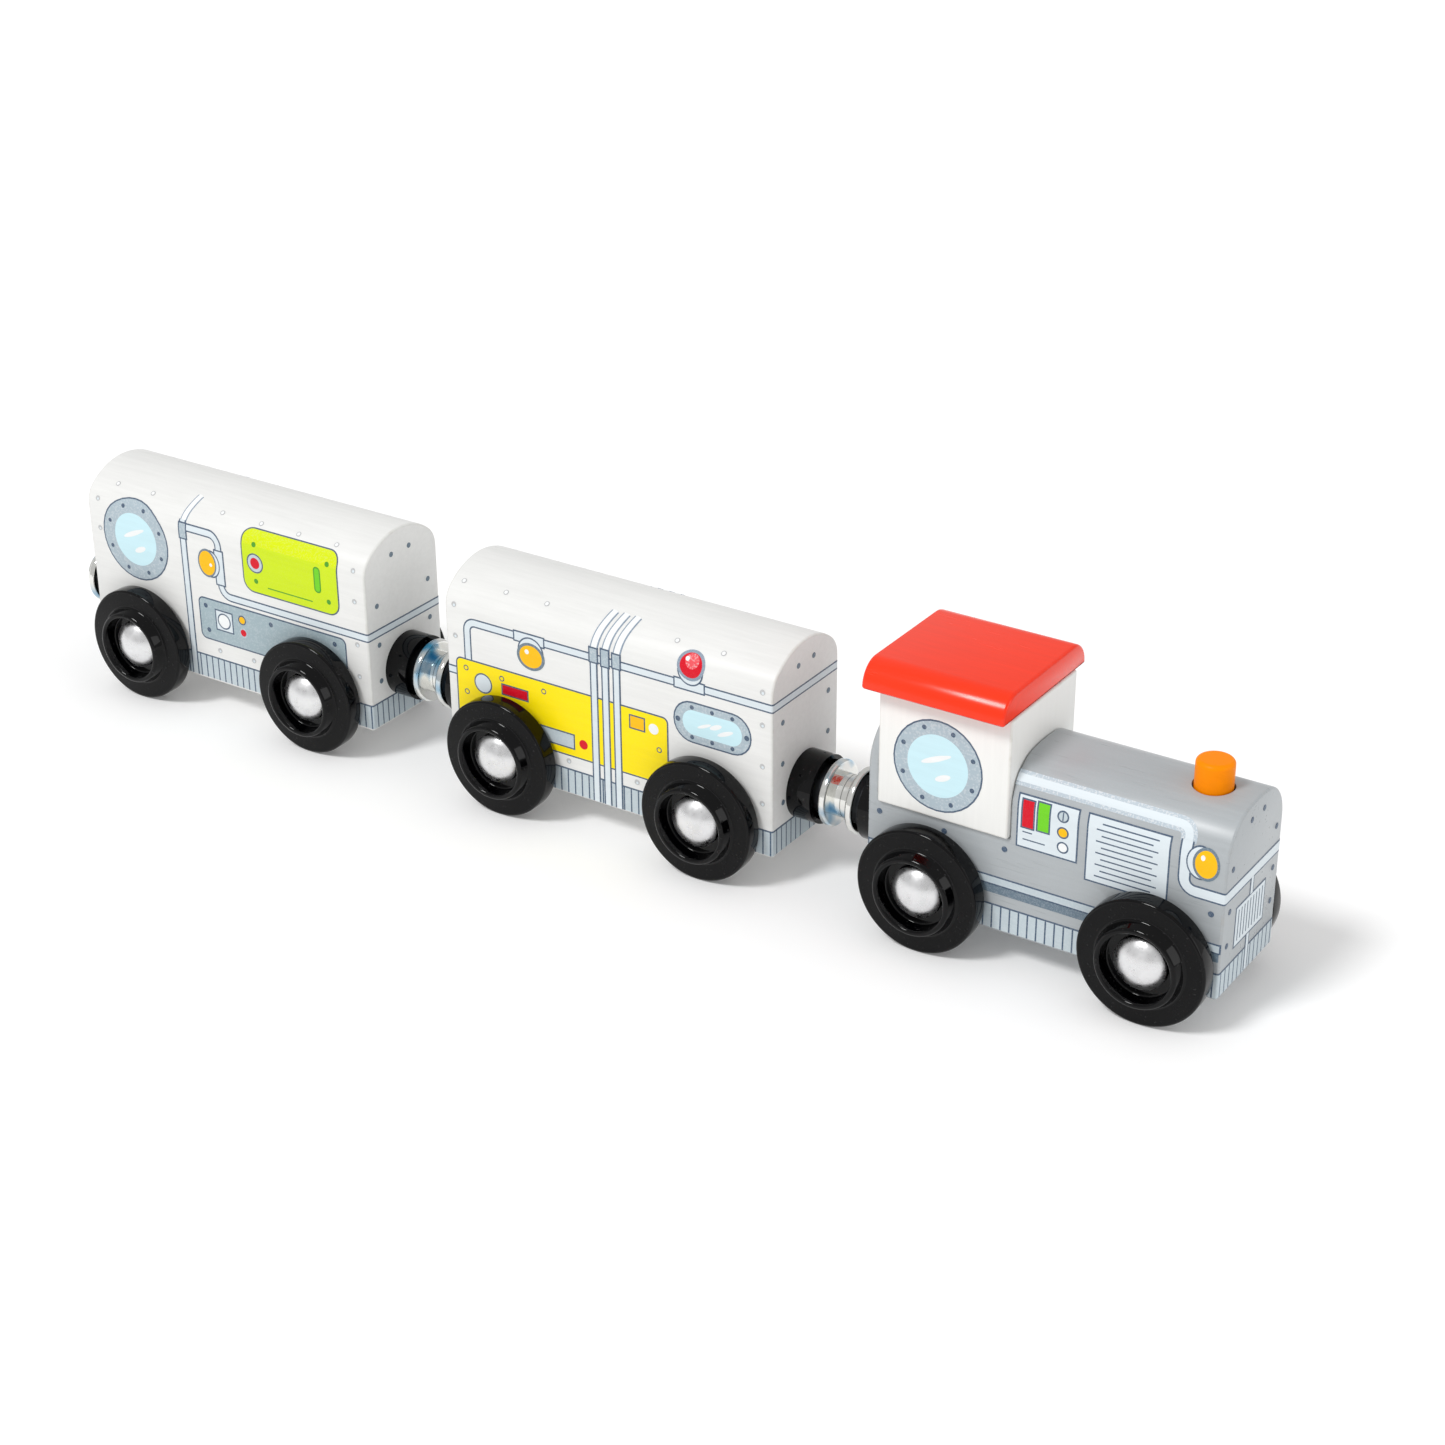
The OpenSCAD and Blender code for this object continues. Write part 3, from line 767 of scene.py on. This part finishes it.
side.rivets([(-29.2, 21.4), (-17.2, 21.3), (-6.3, 21.3), (29.2, 20.9)])
side.cut(engineShape.cuts(37.0), "y")
side.cut(engineShape.cornerCuts(), "x")
side.thicken()
side.lay(engineShape.wrap)
side.mirrorAcross()

nose = Sheet("engine_nose_sheet")
nose.framed(-5.3, 5.3, 13.2, 20.0, "pale", 3)
for k in range(9):
    nose.bar(-4.5 + k * 1.1, -4.2 + k * 1.1, 13.9, 19.4, "line", 5)
nose.pipe([(0, 23.2), (0, 20.2)], 0.8, 0.5, 5)
nose.pipe([(0, 13.0), (0, 6.5)], 0.8, 0.5, 5)
nose.rivets([(w * y, z) for w in (-1, 1) for y, z in ((2.3, 34.2), (8.1, 28.3), (8.1, 20.85), (8.2, 14.8))])
nose.thicken()
nose.lay(engineShape.onFront)

cabLow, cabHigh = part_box("cab")
cabShape = Section(cabLow, cabHigh, 1.0, 40.0)
cabSheet = Sheet("cab_sheet")
porthole(cabSheet, -18.4 + (engineShape.middleX - cabShape.middleX), 33.0, 8.1, 5.5, 6.8)
cabSheet.thicken()
cabSheet.lay(cabShape.wrap)
cabSheet.mirrorAcross()
side.split([nose, cabSheet], "engine", "engine")
print("engine printed")


# middle wagon print

middleLow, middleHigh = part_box("middle_wagon_body")
middleShape = Section(middleLow, middleHigh, 4.9, 13.2)
middlePrint = dict(panel=(-31.95, 12.95, 13.9, 26.5), stripe=34.1, lamp=(-15.5, 30.8), redLamp=(17.8, 37.8),
                   window=(14.3, 30.0, 23.5, 31.3), pipes=(-2.05, 0.35, 2.7), lean=12,
                   roofRivets=(-31.5, -22.3, -13.5, 13.6, 22.9),
                   endRivets=((2.4, 38.9), (7.2, 30.4), (7.2, 22.7), (7.0, 15.3)))
m = middlePrint
side = Sheet("middle_side_sheet")
edgeX, backEdge = middleShape.endX(middleShape.half), middleShape.backX(middleShape.half)
side.ribs(backEdge, edgeX, 6.35, 11.0, 1.5)
x0, x1, s0, s1 = m["panel"]
side.framed(x0, x1, s0, s1, "yellow", 3, 0.9)
side.pipe([(-29.4, s1 - 1), (-29.4, m["stripe"]), (edgeX, m["stripe"])], 1.12, 1.7, 1)
side.pipe([(backEdge, 23.9), (x0 + 1, 23.9)], 1.12, 1.0, 1)
side.ringed(-26.3, 22.8, 1.7, "pale", 5)
side.framed(-22.0, -16.6, 22.0, 23.7, "red", 5)
side.framed(-14.5, -6.8, 15.4, 17.9, "mist", 5)
side.dot(-4.7, 16.7, 0.9, "red", 5)
side.framed(5.4, 8.2, 23.0, 25.2, "gold", 5)
side.dot(10.2, 23.9, 1.0, "white", 5)
for x, s in ((-30.0, 24.95), (-30.0, 20.3), (-22.1, 24.85), (-12.95, 24.8), (11.3, 20.2)):
    side.ringed(x, s, 0.35, "yellow", 5, width=0.2)
# lamps on brackets
side.framed(-18.9, -12.7, 33.3, 34.9, "pale", 3)
x, s = m["lamp"]
side.ringed(x, s + 0.9, 2.5, "pale", 5)
side.ringed(x, s, 2.1, "gold", 7, "steel", 0.5, squash=1.15)
side.dot(x - 0.8, s + 0.8, 0.45, "white", 9)
side.framed(14.7, 20.5, 33.3, 34.9, "pale", 3)
x, s = m["redLamp"]
side.ringed(x, s - 1.1, 2.3, "pale", 5)
side.ringed(x, s, 2.2, "red", 7, "softLine", 0.55)
side.dot(x + 0.1, s + 0.75, 1.35, "rose", 9)
side.dot(x - 0.9, s + 1.0, 0.4, "white", 10)
# three pipes over the roof
for k, x in enumerate(m["pipes"]):
    side.pipe([(x, 6.35), (x, 36.0)], 1.05, 1.0, 9)
    upper = x + 0.85
    side.bar(upper - 0.8, upper + 0.8, 35.3, 43.6, "softLine", 7, lean=m["lean"])
    side.bar(upper - 0.56, upper + 0.56, 35.3, 43.8, "white", 8, lean=m["lean"])
    lift = 0.25 * (k % 2)
    side.framed(x - 0.72, x + 0.72, 33.4 - lift, 35.9 + lift, "ring", 11)
x0, x1, s0, s1 = m["window"]
side.framed(x0 + 0.3, x1 - 0.3, s0 + 0.3, s1 - 0.3, "ring", 3, 3.5)
side.bar(x0 + 1.9, x1 - 1.9, s0 + 1.6, s1 - 1.6, "sky", 5, 2.2)
side.streak(20.6, 27.3, 3.0, 0.6, 6)
side.streak(22.9, 27.7, 2.6, 0.9, 6)
side.streak(24.8, 27.0, 3.4, 0.8, 6)
for x in (-4.05, 0, 4.05):
    side.rivet(22.15 + x, 30.2, layer=6, r=0.4)
    side.rivet(22.15 + x, 24.6, layer=6, r=0.4)
side.rivets([(22.15 - 6.9, 27.4), (22.15 + 6.9, 27.4)], layer=6)
side.rivets([(w * 32.1, s) for w in (-1, 1) for s in (36.7, 30.7)], "faint")
side.rivets([(32.1, 23.0), (32.1, 16.0), (-8.0, 12.6), (6.5, 12.6)], "faint")
for x in m["roofRivets"]:
    side.ringed(x, 41.3, 0.34, "white", 7, "faint", 0.16)
side.cut(middleShape.cuts(44.4), "y")
side.cut(middleShape.cornerCuts(), "x")
side.thicken()
side.lay(middleShape.wrap)
side.mirrorAcross()
ends = []
for wrap in (middleShape.onFront, middleShape.onBack):
    end = Sheet("middle_end_sheet")
    end.rivets([(w * y, z) for w in (-1, 1) for y, z in m["endRivets"]], "steel")
    end.thicken()
    end.lay(wrap)
    ends.append(end)
side.split(ends, "middle_wagon", "middle")
print("middle wagon printed")


# tail wagon print

tailLow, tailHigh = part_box("tail_wagon_body")
tailShape = Section(tailLow, tailHigh, 4.9, 13.2)
tailPrint = dict(porthole=(-22.3, 31.15), pipe=-9.8, lean=12, stripe=24.7, lamp=(-4.15, 30.6),
                 hatch=(5.0, 27.6, 27.6, 40.0), board=(-7.1, 28.5, 14.85, 23.0),
                 roofRivets=(-28.0, -19.0, -1.5, 8.0, 17.0, 26.0),
                 endRivets=((2.5, 38.5), (7.3, 30.05), (7.3, 22.3), (7.4, 15.1)))
t = tailPrint
side = Sheet("tail_side_sheet")
edgeX, backEdge = tailShape.endX(tailShape.half), tailShape.backX(tailShape.half)
side.ribs(backEdge, edgeX, 6.35, 11.0, 1.5)
porthole(side, *t["porthole"], 8.3, 5.3, 6.8)
side.pipe([(t["pipe"], 36.7), (-1.1, 36.7), (-1.1, t["stripe"]), (edgeX, t["stripe"])], 1.1, 2.2)
side.pipe([(t["pipe"], 6.35), (t["pipe"], 38.0)], 1.1, 1.0, 5)
side.bar(t["pipe"] - 0.05, t["pipe"] + 1.45, 37.2, 43.6, "softLine", 3, lean=t["lean"])
side.bar(t["pipe"] + 0.17, t["pipe"] + 1.23, 37.2, 43.8, "white", 4, lean=t["lean"])
side.framed(t["pipe"] - 0.75, t["pipe"] + 0.75, 34.4, 37.3, "ring", 7)
side.framed(-2.05, -0.2, 26.9, 33.6, "pale", 5)
x, s = t["lamp"]
side.ringed(x + 0.9, s, 2.5, "pale", 7, squash=0.8)
side.ringed(x, s, 2.45, "gold", 9, "steel", 0.4, squash=0.8)
side.dot(x + 0.9, s - 0.2, 0.35, "white", 11)
x0, x1, s0, s1 = t["hatch"]
side.framed(x0, x1, s0, s1, "citron", 3, 2.2)
side.bar(x0, x1, s0, s0 + 9.3, "lime", 5, 2.2)
side.bar(x0, x1, s0 + 2.4, s0 + 9.3, "lime", 6)
side.ringed(7.95, 33.4, 1.7, "mist", 7)
side.dot(7.95, 33.4, 1.1, "red", 9)
side.framed(22.4, 23.5, 31.4, 36.0, "green", 7, 0.5, "leaf")
side.bar(10.7, 21.5, 28.95, 29.17, "leaf", 7)
side.rivets([(7.9, 37.1), (25.4, 37.3), (25.4, 29.9), (7.9, 29.8)], "leaf", 7)
x0, x1, s0, s1 = t["board"]
side.framed(x0, x1, s0, s1, "slab", 3, 1.0)
side.framed(-3.1, 0.8, 17.4, 21.2, "pale", 5)
side.ringed(-1.2, 19.3, 1.35, "white", 7)
side.ringed(3.4, 20.7, 0.7, "gold", 5)
side.ringed(3.5, 18.1, 0.7, "red", 5, "ring")
side.rivets([(-5.6, 21.6), (-5.3, 16.6), (10.6, 21.6), (26.05, 21.6)], "line", 5)
side.rivets([(w * 31.5, s) for w in (-1, 1) for s in (37.5, 31.5)], "faint")
side.rivets([(31.5, 22.9), (31.5, 16.5), (-3.0, 12.8), (5.5, 12.9)], "faint")
for x in t["roofRivets"]:
    side.ringed(x, 41.3, 0.34, "white", 7, "faint", 0.16)
side.cut(tailShape.cuts(44.4), "y")
side.cut(tailShape.cornerCuts(), "x")
side.thicken()
side.lay(tailShape.wrap)
side.mirrorAcross()
ends = []
for wrap in (tailShape.onFront, tailShape.onBack):
    end = Sheet("tail_end_sheet")
    end.rivets([(w * y, z) for w in (-1, 1) for y, z in t["endRivets"]], "steel")
    end.thicken()
    end.lay(wrap)
    ends.append(end)
side.split(ends, "tail_wagon", "tail")
print("tail wagon printed")


# camera, floor and light

view = dict(eye=(0.26038, -0.35505, 0.24075), aim=(0.02407, 0.00088, 0.02217), roll=-0.373, lens=69.63)
cameraData = bpy.data.cameras.new("camera")
cameraData.lens, cameraData.sensor_width = view["lens"], 36
camera = bpy.data.objects.new("camera", cameraData)
scene.collection.objects.link(camera)
camera.location = view["eye"]
look = (Vector(view["aim"]) - Vector(view["eye"])).to_track_quat("-Z", "Y")
camera.rotation_mode = "QUATERNION"
camera.rotation_quaternion = look @ Matrix.Rotation(radians(view["roll"]), 3, "Z").to_quaternion()
scene.camera = camera

studio = dict(floor=2.4, whiteness=0.95, floorGlow=0.08, sky=0.62,
              key=(-0.24, -0.6, 0.8), keyPower=1.6, keyAngle=15,
              nose=(0.9, 0.1, 0.33), nosePower=0.48, noseAngle=36)
bpy.ops.object.select_all(action="DESELECT")
bpy.ops.mesh.primitive_plane_add(size=studio["floor"] * 2, location=(0, 0, 0))
floor = bpy.context.object
floor.name = "floor"
floorFinish = Finish("floor_white", Base_Color=(studio["whiteness"],) * 3 + (1,), Roughness=0.9, IOR=1.1,
                     Emission_Color=(1, 1, 1, 1), Emission_Strength=studio["floorGlow"])
floor.data.materials.append(floorFinish.material)

world = bpy.data.worlds.new("studio")
scene.world = world
world.use_nodes = True
world.node_tree.nodes["Background"].inputs["Color"].default_value = (1, 1, 1, 1)
world.node_tree.nodes["Background"].inputs["Strength"].default_value = studio["sky"]


def softLight(name, place, power, angle):
    data = bpy.data.lights.new(name, "SUN")
    data.energy, data.angle = power, radians(angle)
    lamp = bpy.data.objects.new(name, data)
    scene.collection.objects.link(lamp)
    lamp.location = place
    lamp.rotation_mode = "QUATERNION"
    lamp.rotation_quaternion = (-Vector(place)).to_track_quat("-Z", "Y")


softLight("key", studio["key"], studio["keyPower"], studio["keyAngle"])
softLight("nose_light", studio["nose"], studio["nosePower"], studio["noseAngle"])
scene.view_settings.view_transform = "Standard"
print("studio set")
